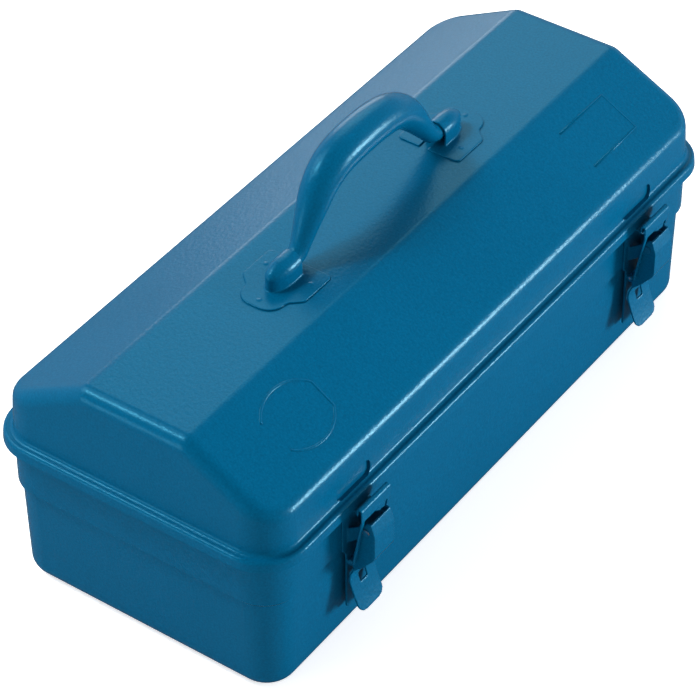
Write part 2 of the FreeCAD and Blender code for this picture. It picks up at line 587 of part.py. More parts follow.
def latch_link():
    """Stamped link: eyes curled round its pin, a window for the lever and a rolled hook on top."""
    eye = LINK_PIN_RADIUS + PIVOT_CLEARANCE
    pin_y, pin_z = LINK_PIVOT
    lip_y = CATCH_LIP_FACE - HOOK_CLEARANCE - LATCH_SHEET
    crest = LINK_TOP - LATCH_SHEET
    points = [(pin_y + eye, pin_z + LINK_CURL_RISE), (pin_y + eye, pin_z - eye), (pin_y - eye, pin_z - eye),
              (pin_y - eye, pin_z + eye), (lip_y - HOOK_GAP, LINK_WINDOW_TOP),
              (lip_y - HOOK_GAP, crest), (lip_y, crest), (lip_y, crest - HOOK_LIP_TALL)]
    roll = HOOK_GAP / 2
    radii = [0, eye, eye, LINK_BEND_RADIUS, LINK_BEND_RADIUS, roll, roll, 0]
    link = across(sheet_section(points, radii, LATCH_SHEET, in_yz), LINK_HALF_WIDTH)
    window = block(-LINK_WINDOW_HALF_WIDTH, LINK_WINDOW_HALF_WIDTH, -BAND_FACE - 2 * LEVER_BULGE_OUT,
                   -BAND_FACE, LINK_PIVOT_HEIGHT - 3 * eye, LINK_WINDOW_TOP)
    return link.cut(window)


def lid_catch():
    """Strip welded inside the skirt, turned out below it into an upward lip."""
    skirt_face = -HALF_WIDTH + SHEET
    lean = SKIRT_FLARE / SKIRT_DEPTH
    top = -SKIRT_EDGE_RADIUS - CATCH_STRIP_MARGIN
    floor = CATCH_BOTTOM + LATCH_SHEET
    points = [(skirt_face + lean * (top + SKIRT_DEPTH), top), (skirt_face, -SKIRT_DEPTH),
              (skirt_face, floor), (CATCH_LIP_FACE + LATCH_SHEET, floor),
              (CATCH_LIP_FACE + LATCH_SHEET, CATCH_LIP_TOP)]
    radii = [0, 0, CATCH_BEND_RADIUS, CATCH_BEND_RADIUS, 0]
    return across(sheet_section(points, radii, LATCH_SHEET, in_yz), CATCH_WIDTH / 2)


def lever_pin():
    """Pin through the ears and the lever's flanges, with a low head each side."""
    near = LEVER_HALF_WIDTH + PIN_HEAD_GAP
    far = near + PIN_HEAD_THICKNESS
    pin = rod(-far, far, LEVER_PIVOT, LEVER_PIN_RADIUS)
    heads = [rod(-far, -near, LEVER_PIVOT, PIN_HEAD_RADIUS), rod(near, far, LEVER_PIVOT, PIN_HEAD_RADIUS)]
    return joined([pin] + heads)


def link_pin():
    """Pin through the lever's flanges and the eyes of the link."""
    return rod(-LINK_HALF_WIDTH, LINK_HALF_WIDTH, LINK_PIVOT, LINK_PIN_RADIUS)


# --- hinge, built at the middle of the box ----------------------------------------------------------------
def hinge_tray_leaf():
    """Leaf on the tray's band, its two outer knuckles curled round the pin."""
    face = BAND_FACE + HINGE_SHEET
    low = HINGE_AXIS_Z - KNUCKLE_RADIUS
    high = HINGE_AXIS_Z + KNUCKLE_RADIUS
    out = HINGE_AXIS_Y + KNUCKLE_RADIUS
    points = [(face, HINGE_LEAF_BOTTOM), (face, low), (out, low), (out, high),
              (HINGE_AXIS_Y - CURL_OVERLAP, high)]
    radii = [0, HINGE_BEND_RADIUS, KNUCKLE_RADIUS, KNUCKLE_RADIUS, 0]
    leaf = across(sheet_section(points, radii, HINGE_SHEET, in_yz), HINGE_WIDTH / 2)
    half = KNUCKLE_MIDDLE / 2
    return leaf.cut(block(-half, half, face, 2 * HALF_WIDTH, HINGE_LEAF_BOTTOM, 2 * high))


def hinge_lid_leaf():
    """Leaf on the lid's rear wall that steps over the skirt to its middle knuckle."""
    over = SHELF_HEIGHT + HINGE_BRIDGE_LIFT
    low = HINGE_AXIS_Z - KNUCKLE_RADIUS
    high = HINGE_AXIS_Z + KNUCKLE_RADIUS
    near = HINGE_AXIS_Y - KNUCKLE_RADIUS
    out = HINGE_AXIS_Y + KNUCKLE_RADIUS
    wall_top = HALF_WIDTH - lid_wall_inset(HINGE_LEAF_TOP)
    wall_low = HALF_WIDTH - lid_wall_inset(over)
    points = [(wall_top, HINGE_LEAF_TOP), (wall_low, over), (near, over), (near, low), (out, low),
              (out, high), (HINGE_AXIS_Y - CURL_OVERLAP, high)]
    radii = [0, HINGE_ROOT_RADIUS, HINGE_BEND_RADIUS, KNUCKLE_RADIUS, KNUCKLE_RADIUS, KNUCKLE_RADIUS, 0]
    leaf = across(sheet_section(points, radii, HINGE_SHEET, in_yz), HINGE_WIDTH / 2)
    half = KNUCKLE_MIDDLE / 2 - KNUCKLE_SIDE_GAP
    step = HALF_WIDTH - LID_WALL_INSET + HINGE_BRIDGE_INSET
    for x_from, x_to in ((-HINGE_WIDTH, -half), (half, HINGE_WIDTH)):
        leaf = leaf.cut(block(x_from, x_to, step, 2 * HALF_WIDTH, 0, over + 2 * HINGE_SHEET))
    return leaf


def hinge_pin():
    half = HINGE_WIDTH / 2
    return rod(-half, half, (HINGE_AXIS_Y, HINGE_AXIS_Z), HINGE_PIN_RADIUS)


# --- assembly ------------------------------------------------------------------------------------------
def build_nodes():
    nodes = {
        "tray": tray_shell(),
        "lid": lid_shell(),
        "handle": handle_bail(),
        "handle_bracket_right": handle_bracket(),
        "handle_bracket_left": handle_bracket().mirror(Vector(0, 0, 0), Vector(1, 0, 0)),
    }
    latch = {"latch_base": latch_base(), "latch_lever": latch_lever(), "latch_link": latch_link(),
             "lever_pin": lever_pin(), "link_pin": link_pin(), "lid_catch": lid_catch()}
    hinge = {"hinge_tray_leaf": hinge_tray_leaf(), "hinge_lid_leaf": hinge_lid_leaf(),
             "hinge_pin": hinge_pin()}
    for pieces, middles, z in ((latch, LATCH_MIDDLES, SHELF_HEIGHT), (hinge, HINGE_MIDDLES, 0)):
        for side, x in middles.items():
            for name, shape in pieces.items():
                nodes[name + "_" + side] = placed(shape, x, z)
    return nodes


os.makedirs("parts", exist_ok=True)
for name, shape in build_nodes().items():
    shape.exportStep(os.path.join("parts", name + ".step"))
    print(name, "valid" if shape.isValid() else "INVALID", len(shape.Solids), round(shape.Volume, 1))
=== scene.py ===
# %% [markdown]
# # A drawn steel tool box
# The box is a pressed steel tray with a roof-shaped lid, a bail handle and two draw latches, all
# sprayed in one blue enamel after assembly. Its measured model is loaded first, and every piece made
# here takes its place from that model.

# %% Load the measured model
import json
import math

import bmesh
import bpy
from mathutils import Matrix, Vector


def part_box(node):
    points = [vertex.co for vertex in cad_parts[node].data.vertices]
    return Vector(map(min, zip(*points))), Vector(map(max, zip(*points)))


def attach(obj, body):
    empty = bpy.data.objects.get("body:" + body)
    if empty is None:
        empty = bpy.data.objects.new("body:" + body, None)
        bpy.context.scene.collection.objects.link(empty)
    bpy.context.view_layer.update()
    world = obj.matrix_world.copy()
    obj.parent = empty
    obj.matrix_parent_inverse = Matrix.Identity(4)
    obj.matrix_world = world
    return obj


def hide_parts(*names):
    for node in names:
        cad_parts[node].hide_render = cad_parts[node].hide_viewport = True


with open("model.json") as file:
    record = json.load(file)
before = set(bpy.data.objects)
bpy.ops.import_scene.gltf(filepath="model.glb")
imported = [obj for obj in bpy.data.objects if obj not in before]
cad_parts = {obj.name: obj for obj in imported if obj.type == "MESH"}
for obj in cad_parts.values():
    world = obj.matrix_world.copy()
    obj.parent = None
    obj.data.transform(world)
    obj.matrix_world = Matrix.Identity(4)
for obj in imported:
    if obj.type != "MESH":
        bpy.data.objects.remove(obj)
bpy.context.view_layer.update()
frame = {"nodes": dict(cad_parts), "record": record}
nodes = frame["nodes"]

# %% [markdown]
# ## Camera
# A long lens far from the box keeps its edges almost parallel, as in a catalogue picture. The camera
# is given by its place, by how far round and how far down it looks, and by a slight roll. A lens
# shift of half a percent centres the box without turning the camera.

# %% Camera
CAMERA_PLACE = Vector((-1.0489, -0.7321, 1.1674))
CAMERA_SIDE = math.radians(54.62)       # round from the latch side towards the left end
CAMERA_RISE = math.radians(41.11)
CAMERA_ROLL = math.radians(-0.36)
LENS_MM = 162.7
SENSOR_MM = 36.0
LENS_SHIFT = (0.005, -0.0042)
VIEW_END = 50.0

scene = bpy.context.scene
camera_data = bpy.data.cameras.new("camera")
camera_data.lens = LENS_MM
camera_data.sensor_width = SENSOR_MM
camera_data.shift_x = LENS_SHIFT[0]
camera_data.shift_y = LENS_SHIFT[1]
camera_data.clip_end = VIEW_END
camera = bpy.data.objects.new("camera", camera_data)
scene.collection.objects.link(camera)
scene.camera = camera

backwards = Vector((-math.sin(CAMERA_SIDE) * math.cos(CAMERA_RISE),
                    -math.cos(CAMERA_SIDE) * math.cos(CAMERA_RISE),
                    math.sin(CAMERA_RISE)))
level_right = Vector((0, 0, 1)).cross(backwards).normalized()
level_up = backwards.cross(level_right)
right = math.cos(CAMERA_ROLL) * level_right + math.sin(CAMERA_ROLL) * level_up
up = backwards.cross(right)
turn = Matrix((right, up, backwards)).transposed().to_4x4()
camera.matrix_world = Matrix.Translation(CAMERA_PLACE) @ turn
print("camera distance:", round(CAMERA_PLACE.length, 3), "m")

# %% [markdown]
# ## Floor and light
# The box stands on a large sheet of white paper, in a white room whose walls are brighter than its
# ceiling. The paper shows white to the camera and lights the box from below, but the enamel mirrors
# it as darker than it is, which keeps the blue deep.
#
# Six soft lamps shape the box, as in a studio. A large one behind it throws the handle's shadow
# forwards, and one in front keeps the long side open. The other four are placed for the reflections
# that they make: in the roof's flat, along the bent edges and the handle, in the rear slope, and on
# the left end. A mirror image needs a lamp in just one place, so each surface has its own.

# %% Floor and light
FLOOR_HALF = 6.0
FLOOR_SEEN = 0.9            # how light the paper looks
FLOOR_MIRRORED = 0.1        # how light its mirror image in the enamel is
FLOOR_GLOW = 0.6            # added for the camera only, so that shadows on the paper stay faint
FLOOR_ROUGHNESS = 0.9
ROOM_WALL = 0.85
ROOM_CEILING = 0.45
ROOM_CEILING_START = 0.75   # sine of the height at which the ceiling's tone is reached
ROOM_STRENGTH = 0.9
WHITE = (1.0, 1.0, 1.0)
SEA_BLUE = (0.6, 1.0, 1.0)
LAMP_AIM = (0, 0, 0.1)
LAMPS = {                   # place in metres, side in metres, power in watts, tint
    "key": ((-0.5, 1.4, 1.7), 1.4, 30.0, WHITE),
    "fill": ((1.4, -2.0, 0.3), 0.6, 72.0, WHITE),
    "sheen": ((1.75, 1.25, 1.95), 1.3, 15.0, SEA_BLUE),
    "glint": ((-0.7, 1.1, 1.9), 0.3, 20.0, WHITE),
    "rear": ((1.5, 1.5, 0.5), 0.8, 5.5, WHITE),
    "side": ((-1.9, 0.9, 0.35), 0.7, 9.0, WHITE),
}

scene.view_settings.view_transform = "Standard"


def shader(name):
    """A new material and its Principled shader."""
    material = bpy.data.materials.new(name)
    material.use_nodes = True
    return material, material.node_tree.nodes["Principled BSDF"]


floor_mesh = bpy.data.meshes.new("floor")
floor_shape = bmesh.new()
bmesh.ops.create_grid(floor_shape, x_segments=1, y_segments=1, size=FLOOR_HALF)
floor_shape.to_mesh(floor_mesh)
floor_shape.free()
floor = bpy.data.objects.new("floor", floor_mesh)
scene.collection.objects.link(floor)
floor_paper, floor_shader = shader("floor")
floor_nodes = floor_paper.node_tree.nodes
floor_links = floor_paper.node_tree.links
light_path = floor_nodes.new("ShaderNodeLightPath")
paper_tone = floor_nodes.new("ShaderNodeMapRange")
paper_tone.inputs["To Min"].default_value = FLOOR_SEEN
paper_tone.inputs["To Max"].default_value = FLOOR_MIRRORED
paper_glow = floor_nodes.new("ShaderNodeMapRange")
paper_glow.inputs["To Max"].default_value = FLOOR_GLOW
floor_links.new(light_path.outputs["Is Glossy Ray"], paper_tone.inputs["Value"])
floor_links.new(light_path.outputs["Is Camera Ray"], paper_glow.inputs["Value"])
floor_links.new(paper_tone.outputs["Result"], floor_shader.inputs["Base Color"])
floor_links.new(paper_glow.outputs["Result"], floor_shader.inputs["Emission Strength"])
floor_shader.inputs["Emission Color"].default_value = (*WHITE, 1)
floor_shader.inputs["Roughness"].default_value = FLOOR_ROUGHNESS
floor_mesh.materials.append(floor_paper)

world = bpy.data.worlds.new("white_room")
scene.world = world
world.use_nodes = True
room_nodes = world.node_tree.nodes
room_links = world.node_tree.links
direction = room_nodes.new("ShaderNodeTexCoord")
height = room_nodes.new("ShaderNodeSeparateXYZ")
room_tone = room_nodes.new("ShaderNodeMapRange")
room_tone.inputs["From Max"].default_value = ROOM_CEILING_START
room_tone.inputs["To Min"].default_value = ROOM_WALL
room_tone.inputs["To Max"].default_value = ROOM_CEILING
room_links.new(direction.outputs["Generated"], height.inputs["Vector"])
room_links.new(height.outputs["Z"], room_tone.inputs["Value"])
room_links.new(room_tone.outputs["Result"], room_nodes["Background"].inputs["Color"])
room_nodes["Background"].inputs["Strength"].default_value = ROOM_STRENGTH


def soft_lamp(name, place, side, power, tint):
    """A square lamp at a place, turned towards the box."""
    data = bpy.data.lights.new(name, "AREA")
    data.shape = "SQUARE"
    data.size = side
    data.energy = power
    data.color = tint
    lamp = bpy.data.objects.new(name, data)
    scene.collection.objects.link(lamp)
    facing = (Vector(place) - Vector(LAMP_AIM)).to_track_quat("Z", "Y").to_matrix().to_4x4()
    lamp.matrix_world = Matrix.Translation(place) @ facing


for lamp_name, lamp_values in LAMPS.items():
    soft_lamp(lamp_name, *lamp_values)
print("lamps:", ", ".join(LAMPS))

# %% [markdown]
# ## Enamel
# The whole box is sprayed after assembly with one semi-gloss blue enamel. Sprayed paint dries with a
# fine ripple called orange peel, carries small specks, and lies thicker here and thinner there. All
# three change over the surface, so one node group works them out from the place on the box, and each
# material gives it its own blue. The gloss is the same everywhere and stays on the shader. It is
# tinted blue, so that the mirror image of a white lamp doesn't turn the paint grey.

# %% Sprayed finish group
FIRST_VALUES = {            # of the group's inputs; a material may give its own
    "Peel Scale": 480.0,    # ripples per metre
    "Peel Height": 0.5,
    "Speck Strength": 0.1,
    "Base Roughness": 0.3,
}
PEEL_DETAIL = 2.0
SPECK_SCALE = 900.0
SPECK_DETAIL = 1.0
CLOUD_SCALE = 14.0          # waves of thicker and thinner paint per metre
CLOUD_DETAIL = 3.0
CLOUD_DEPTH = 0.05
ROUGHNESS_SPREAD = 0.06
NOISE_MIDDLE = 0.5


def new_socket(group, name, way, kind, value=None):
    """A named input or output on a node group, with its first value."""
    socket = group.interface.new_socket(name=name, in_out=way, socket_type=kind)
    if value is not None:
        socket.default_value = value


spray = bpy.data.node_groups.new("sprayed_finish", "ShaderNodeTree")
new_socket(spray, "Paint", "INPUT", "NodeSocketColor")
for name, value in FIRST_VALUES.items():
    new_socket(spray, name, "INPUT", "NodeSocketFloat", value)
new_socket(spray, "Color", "OUTPUT", "NodeSocketColor")
new_socket(spray, "Roughness", "OUTPUT", "NodeSocketFloat")
new_socket(spray, "Height", "OUTPUT", "NodeSocketFloat")


def add(tree, kind, **values):
    """A node in a tree, with settings and input values given by name."""
    node = tree.nodes.new(kind)
    for name, value in values.items():
        if hasattr(node, name):
            setattr(node, name, value)
        else:
            node.inputs[name.replace("_", " ").title()].default_value = value
    return node


group_in = spray.nodes.new("NodeGroupInput")
group_out = spray.nodes.new("NodeGroupOutput")
place = add(spray, "ShaderNodeTexCoord")
peel = add(spray, "ShaderNodeTexNoise", detail=PEEL_DETAIL)
specks = add(spray, "ShaderNodeTexNoise", scale=SPECK_SCALE, detail=SPECK_DETAIL)
clouds = add(spray, "ShaderNodeTexNoise", scale=CLOUD_SCALE, detail=CLOUD_DETAIL)
for texture in (peel, specks, clouds):
    spray.links.new(place.outputs["Object"], texture.inputs["Vector"])
spray.links.new(group_in.outputs["Peel Scale"], peel.inputs["Scale"])

speck_share = add(spray, "ShaderNodeMath", operation="MULTIPLY_ADD")
speck_centre = add(spray, "ShaderNodeMath", operation="SUBTRACT")
speck_centre.inputs[1].default_value = NOISE_MIDDLE
spray.links.new(specks.outputs["Fac"], speck_centre.inputs[0])
spray.links.new(speck_centre.outputs[0], speck_share.inputs[0])
spray.links.new(group_in.outputs["Speck Strength"], speck_share.inputs[1])
cloud_share = add(spray, "ShaderNodeMapRange")
cloud_share.inputs["To Min"].default_value = 1 - CLOUD_DEPTH
cloud_share.inputs["To Max"].default_value = 1 + CLOUD_DEPTH
spray.links.new(clouds.outputs["Fac"], cloud_share.inputs["Value"])
spray.links.new(cloud_share.outputs["Result"], speck_share.inputs[2])
tone = add(spray, "ShaderNodeVectorMath", operation="SCALE")
spray.links.new(group_in.outputs["Paint"], tone.inputs[0])
spray.links.new(speck_share.outputs[0], tone.inputs["Scale"])
spray.links.new(tone.outputs["Vector"], group_out.inputs["Color"])

dullness = add(spray, "ShaderNodeMath", operation="MULTIPLY_ADD")
dullness.inputs[1].default_value = ROUGHNESS_SPREAD
spray.links.new(clouds.outputs["Fac"], dullness.inputs[0])
spray.links.new(group_in.outputs["Base Roughness"], dullness.inputs[2])
spray.links.new(dullness.outputs[0], group_out.inputs["Roughness"])

ripple = add(spray, "ShaderNodeMath", operation="MULTIPLY")
spray.links.new(peel.outputs["Fac"], ripple.inputs[0])
spray.links.new(group_in.outputs["Peel Height"], ripple.inputs[1])
spray.links.new(ripple.outputs[0], group_out.inputs["Height"])
print("sprayed finish:", len(spray.nodes), "nodes")

# %% [markdown]
# ## Two finishes from one spray
# Sheet parts carry the full coat. The pivot and hinge pins turn in their holes, so their paint is
# thin and slightly rubbed, and a little steel shows through it in patches.

# %% Enamel and pins
ENAMEL_BLUE = (0.0, 0.08, 0.174, 1)
ENAMEL_PEEL = 1.4
PAINT_SPECKS = 0.5
PAINT_ROUGHNESS = 0.23
PAINT_GLOSS = 0.18
PAINT_GLOSS_TINT = (0.12, 0.72, 1.0, 1)
PEEL_DISTANCE = 0.0001      # height of a ripple of strength one, in metres
PIN_BLUE = (0.004, 0.085, 0.18, 1)
PIN_PEEL = 1.0
PIN_STEEL = (0.33, 0.34, 0.35, 1)
PIN_RUB_SCALE = 260.0
PIN_RUB_DETAIL = 3.0
PIN_RUB_START = 0.62
PIN_RUB_FULL = 0.72


def sprayed(name, blue, peel_height):
    """A material sprayed with the finish, and its shader and group node."""
    material, coat = shader(name)
    tree = material.node_tree
    finish = tree.nodes.new("ShaderNodeGroup")
    finish.node_tree = spray
    finish.inputs["Paint"].default_value = blue
    finish.inputs["Peel Height"].default_value = peel_height
    finish.inputs["Speck Strength"].default_value = PAINT_SPECKS
    finish.inputs["Base Roughness"].default_value = PAINT_ROUGHNESS
    bump = add(tree, "ShaderNodeBump", distance=PEEL_DISTANCE)
    tree.links.new(finish.outputs["Height"], bump.inputs["Height"])
    tree.links.new(finish.outputs["Color"], coat.inputs["Base Color"])
    tree.links.new(finish.outputs["Roughness"], coat.inputs["Roughness"])
    tree.links.new(bump.outputs["Normal"], coat.inputs["Normal"])
    coat.inputs["Specular IOR Level"].default_value = PAINT_GLOSS
    coat.inputs["Specular Tint"].default_value = PAINT_GLOSS_TINT
    return material, coat, finish


enamel = sprayed("blue_enamel", ENAMEL_BLUE, ENAMEL_PEEL)[0]
pin_paint, pin_shader, pin_finish = sprayed("rubbed_pins", PIN_BLUE, PIN_PEEL)
pin_tree = pin_paint.node_tree
pin_place = add(pin_tree, "ShaderNodeTexCoord")
pin_rub = add(pin_tree, "ShaderNodeTexNoise", scale=PIN_RUB_SCALE, detail=PIN_RUB_DETAIL)
rub_mask = add(pin_tree, "ShaderNodeMapRange")
rub_mask.inputs["From Min"].default_value = PIN_RUB_START
rub_mask.inputs["From Max"].default_value = PIN_RUB_FULL
rub_colour = add(pin_tree, "ShaderNodeMix", data_type="RGBA")
pin_tree.links.new(pin_place.outputs["Object"], pin_rub.inputs["Vector"])
pin_tree.links.new(pin_rub.outputs["Fac"], rub_mask.inputs["Value"])
pin_tree.links.new(rub_mask.outputs["Result"], rub_colour.inputs["Factor"])
pin_tree.links.new(pin_finish.outputs["Color"], rub_colour.inputs["A"])
rub_colour.inputs["B"].default_value = PIN_STEEL
pin_tree.links.new(rub_colour.outputs["Result"], pin_shader.inputs["Base Color"])
pin_tree.links.new(rub_mask.outputs["Result"], pin_shader.inputs["Metallic"])

for name, node in nodes.items():
    node.data.materials.clear()
    node.data.materials.append(pin_paint if "pin" in name else enamel)
print("painted nodes:", len(nodes))

# %% [markdown]
# ## Paint-rounded fittings
# Enamel fills inner corners and rounds outer edges, so a painted stamping has no sharp line left on
# it. The measured fittings are sharp where the sheet was cut. Each is copied, wrapped in a fine skin
# of small even faces, and smoothed a little, which rounds its edges by a few tenths of a millimetre
# and leaves its size almost as it was. The skin is then thinned to two fifths of its faces.

# %% Paint-rounded fittings
FITTING_SKIN = 0.00035      # side of a skin face
PIN_SKIN = 0.00025
SKIN_SMOOTHING = 3
SKIN_KEEP = 0.4             # share of the faces that is kept
WELD_DISTANCE = 1e-6

bodies = frame["record"]["behaviour"]["bodies"]
body_of_node = {name: body for body, members in bodies.items() for name in members}


def every_part(shape):
    """All that a cut has to look at."""
    return shape.verts[:] + shape.edges[:] + shape.faces[:]


def apply_modifiers(obj):
    """Puts an object's modified mesh on it, shaded smooth, and clears its modifiers."""
    bpy.context.view_layer.update()
    graph = bpy.context.evaluated_depsgraph_get()
    mesh = bpy.data.meshes.new_from_object(obj.evaluated_get(graph))
    obj.modifiers.clear()
    obj.data = mesh
    mesh.polygons.foreach_set("use_smooth", [True] * len(mesh.polygons))


def skin(obj, size):
    """Wraps an object in an even skin, smooths it and thins it."""
    wrap = obj.modifiers.new("skin", "REMESH")
    wrap.mode = "VOXEL"
    wrap.voxel_size = size
    soften = obj.modifiers.new("soften", "SMOOTH")
    soften.iterations = SKIN_SMOOTHING
    thin = obj.modifiers.new("thin", "DECIMATE")
    thin.ratio = SKIN_KEEP
    apply_modifiers(obj)


def welded(name):
    """A node's mesh with its loose triangles joined, to be shaped further."""
    shape = bmesh.new()
    shape.from_mesh(nodes[name].data)
    bmesh.ops.remove_doubles(shape, verts=shape.verts, dist=WELD_DISTANCE)
    return shape


def new_object(name, shape):
    """Turns a shape into an object."""
    mesh = bpy.data.meshes.new(name)
    shape.to_mesh(mesh)
    shape.free()
    obj = bpy.data.objects.new(name, mesh)
    scene.collection.objects.link(obj)
    return obj


def new_piece(name, shape, material, body):
    """Turns a shape into an object that rides on a body."""
    piece = new_object(name, shape)
    piece.data.materials.append(material)
    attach(piece, body)
    return piece


def painted(name, shape):
    """Makes a paint-rounded copy of a fitting, which stands for it."""
    if "pin" in name:
        material, slot, skin_size = pin_paint, "pins", PIN_SKIN
    else:
        material, slot, skin_size = enamel, "enamel", FITTING_SKIN
    piece = new_piece(name + "_painted", shape, material, body_of_node[name])
    skin(piece, skin_size)
    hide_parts(name)
    print(piece.name, len(piece.data.polygons), "faces")


SHAPED_APART = ("tray", "lid", "handle", "handle_bracket_left", "handle_bracket_right",
                "latch_lever_left", "latch_lever_right", "latch_base_left", "latch_base_right")
for name in sorted(set(nodes) - set(SHAPED_APART)):
    painted(name, welded(name))

# %% [markdown]
# ## Handle brackets
# Each bracket is pressed in one blow: a flat pad with three lobes, and a dome that takes the end of
# the handle and runs out in a blunt nose. A dome swept along a line would leave a notch where its
# nose meets the pad. So the measured pad is kept and the dome is drawn over it from a stretched ball:
# its underside is drawn down to the pad, and its inner half back to the dome's mouth. A smaller one
# is cut out for the end of the handle, three flat weld marks are set on the pad, and the paint skin
# joins them all.

# %% Handle brackets
MOUTH_FROM_PAD = 0.0075     # the dome's mouth from the pad's inner end
DOME_LENGTH = 0.021
DOME_NOSE = 0.0145
HOLLOW_RADIUS = 0.0054
HOLLOW_LENGTH = 0.0096
HOLLOW_NOSE = 0.003
PAD_THICKNESS = 0.0009
BALL_POINTS = (48, 32)      # round and up
WELD_MARK_RADIUS = 0.0013
WELD_MARK_HEIGHT = 0.0003
WELD_MARK_POINTS = (16, 12)
WELD_MARK_PLACES = [(0.0285, 0.0), (0.0035, 0.0140), (0.0035, -0.0140)]   # from the mouth, across

joints = {joint["name"]: joint for joint in frame["record"]["behaviour"]["joints"]}
handle_axis = Vector(joints["handle_pivot"]["pos_m"])


def ball(shape, middle, half_sizes, points):
    """Adds a stretched ball to a shape."""
    size = Matrix.Diagonal((*half_sizes, 1))
    bmesh.ops.create_uvsphere(shape, u_segments=points[0], v_segments=points[1], radius=1.0,
                              matrix=Matrix.Translation(middle) @ size)


def cut_away(shape, point, way):
    """Cuts off what lies beyond a plane and closes the cut."""
    bmesh.ops.bisect_plane(shape, geom=every_part(shape), plane_co=point, plane_no=way,
                           dist=WELD_DISTANCE, clear_outer=True)
    rim = [edge for edge in shape.edges if len(edge.link_faces) == 1]
    bmesh.ops.edgeloop_fill(shape, edges=rim)


def loaf(name, mouth, outward, radius, length, nose, bottom):
    """A ball with its underside drawn down to the pad and its inner half drawn to the mouth."""
    shape = bmesh.new()
    nose_start = mouth + outward * (length - nose)
    ball(shape, (nose_start, 0, handle_axis.z), (nose, radius, radius), BALL_POINTS)
    for vert in shape.verts:
        if vert.co.z < handle_axis.z - WELD_DISTANCE:
            vert.co.z = bottom
        if (vert.co.x - nose_start) * outward < -WELD_DISTANCE:
            vert.co.x = mouth
    bmesh.ops.recalc_face_normals(shape, faces=shape.faces)
    return new_object(name, shape)


for side, outward in (("left", -1), ("right", 1)):
    name = "handle_bracket_" + side
    low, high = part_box(name)
    inner_end = high[0] if side == "left" else low[0]
    mouth = inner_end + outward * MOUTH_FROM_PAD
    pad_top = low[2] + PAD_THICKNESS
    dome = loaf(name + "_dome", mouth, outward, high[2] - handle_axis.z, DOME_LENGTH, DOME_NOSE, low[2])
    hollow = loaf(name + "_hollow", mouth - outward * PAD_THICKNESS, outward, HOLLOW_RADIUS,
                  HOLLOW_LENGTH + PAD_THICKNESS, HOLLOW_NOSE, pad_top)
    cut = dome.modifiers.new("hollow", "BOOLEAN")
    cut.operation = "DIFFERENCE"
    cut.solver = "EXACT"
    cut.object = hollow
    apply_modifiers(dome)
    shape = welded(name)
    cut_away(shape, (0, 0, pad_top), (0, 0, 1))
    shape.from_mesh(dome.data)
    bpy.data.objects.remove(dome)
    bpy.data.objects.remove(hollow)
    for along, across in WELD_MARK_PLACES:
        ball(shape, (mouth + outward * along, across, pad_top),
             (WELD_MARK_RADIUS, WELD_MARK_RADIUS, WELD_MARK_HEIGHT), WELD_MARK_POINTS)
    painted(name, shape)

# %% [markdown]
# ## Latch plates and levers
# A draw latch pulls the lid down over its tray: the lever turns on the base plate's ears, and its
# link hooks over the catch. Behind the finger tab the base plate narrows to a tongue, and the tab
# lies close to it. Both could be modelled anew. It is surer to take the measured parts, cut level
# rings of points into them where they have none, and move those points.

# %% Latch plates and levers
TONGUE_SHOULDER = 0.042     # above the plate's lower end
TONGUE_TOP = 0.038
TONGUE_HALF_WIDTH = 0.0078
TAB_RISE = 0.031            # above the lever's lower end; it leans in below this height
TAB_SHIFT = 0.0042
TAB_LAST_RING = 0.0002      # the lowest ring, above the lever's lower end
LEVER_RINGS = 14


def ring_cut(shape, height):
    """Cuts a level ring of edges into a shape."""
    bmesh.ops.bisect_plane(shape, geom=every_part(shape), plane_co=(0, 0, height), plane_no=(0, 0, 1))


for side in ("left", "right"):
    name = "latch_base_" + side
    low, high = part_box(name)
    middle = (low[0] + high[0]) / 2
    shape = welded(name)
    ring_cut(shape, low[2] + TONGUE_SHOULDER)
    ring_cut(shape, low[2] + TONGUE_TOP)
    tongue = [vert for vert in shape.verts if vert.co.z < low[2] + TONGUE_TOP + WELD_DISTANCE]
    narrow = Matrix.Diagonal((TONGUE_HALF_WIDTH / (high[0] - middle), 1, 1, 1))
    about = Matrix.Translation((middle, 0, 0))
    bmesh.ops.transform(shape, matrix=about @ narrow @ about.inverted(), verts=tongue)
    painted(name, shape)

    name = "latch_lever_" + side
    low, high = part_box(name)
    shape = welded(name)
    for index in range(LEVER_RINGS):
        share = index / (LEVER_RINGS - 1)
        ring_cut(shape, low[2] + TAB_RISE + (TAB_LAST_RING - TAB_RISE) * share)
    for vert in shape.verts:
        share = (low[2] + TAB_RISE - vert.co.z) / TAB_RISE
        share = max(0.0, min(1.0, share))
        vert.co.y += TAB_SHIFT * math.sin(share * math.pi / 2)
    painted(name, shape)

# %% [markdown]
# ## Handle
# The bail is a tube that swells from two narrow feet into a full grip. A tube of one girth bent along
# a curve would miss that swell. So rings are set along its line, each turned square to it and given
# its own girth, and a subdivision surface runs smoothly through them. Its ends lie inside the bracket
# domes, where the handle turns, and it leans back a little, as a bail at rest does.

# %% Handle
# Half of the bail from the end of its journal to the middle: place along the box, height above the
# pivot, thickness, and depth across the box.
BAIL = [
    (-0.0732, 0.0000, 0.0092, 0.0092),
    (-0.0690, 0.0000, 0.0098, 0.0098),
    (-0.0645, 0.0001, 0.0100, 0.0100),
    (-0.0600, 0.0014, 0.0106, 0.0106),
    (-0.0562, 0.0056, 0.0108, 0.0110),
    (-0.0512, 0.0126, 0.0130, 0.0136),
    (-0.0444, 0.0217, 0.0168, 0.0177),
    (-0.0362, 0.0309, 0.0196, 0.0198),
    (-0.0250, 0.0366, 0.0207, 0.0217),
    (-0.0120, 0.0383, 0.0210, 0.0225),
    (0.0000, 0.0386, 0.0210, 0.0226),
]
RING_POINTS = 20
HANDLE_LEAN = math.radians(5)
HANDLE_LEVELS = 3

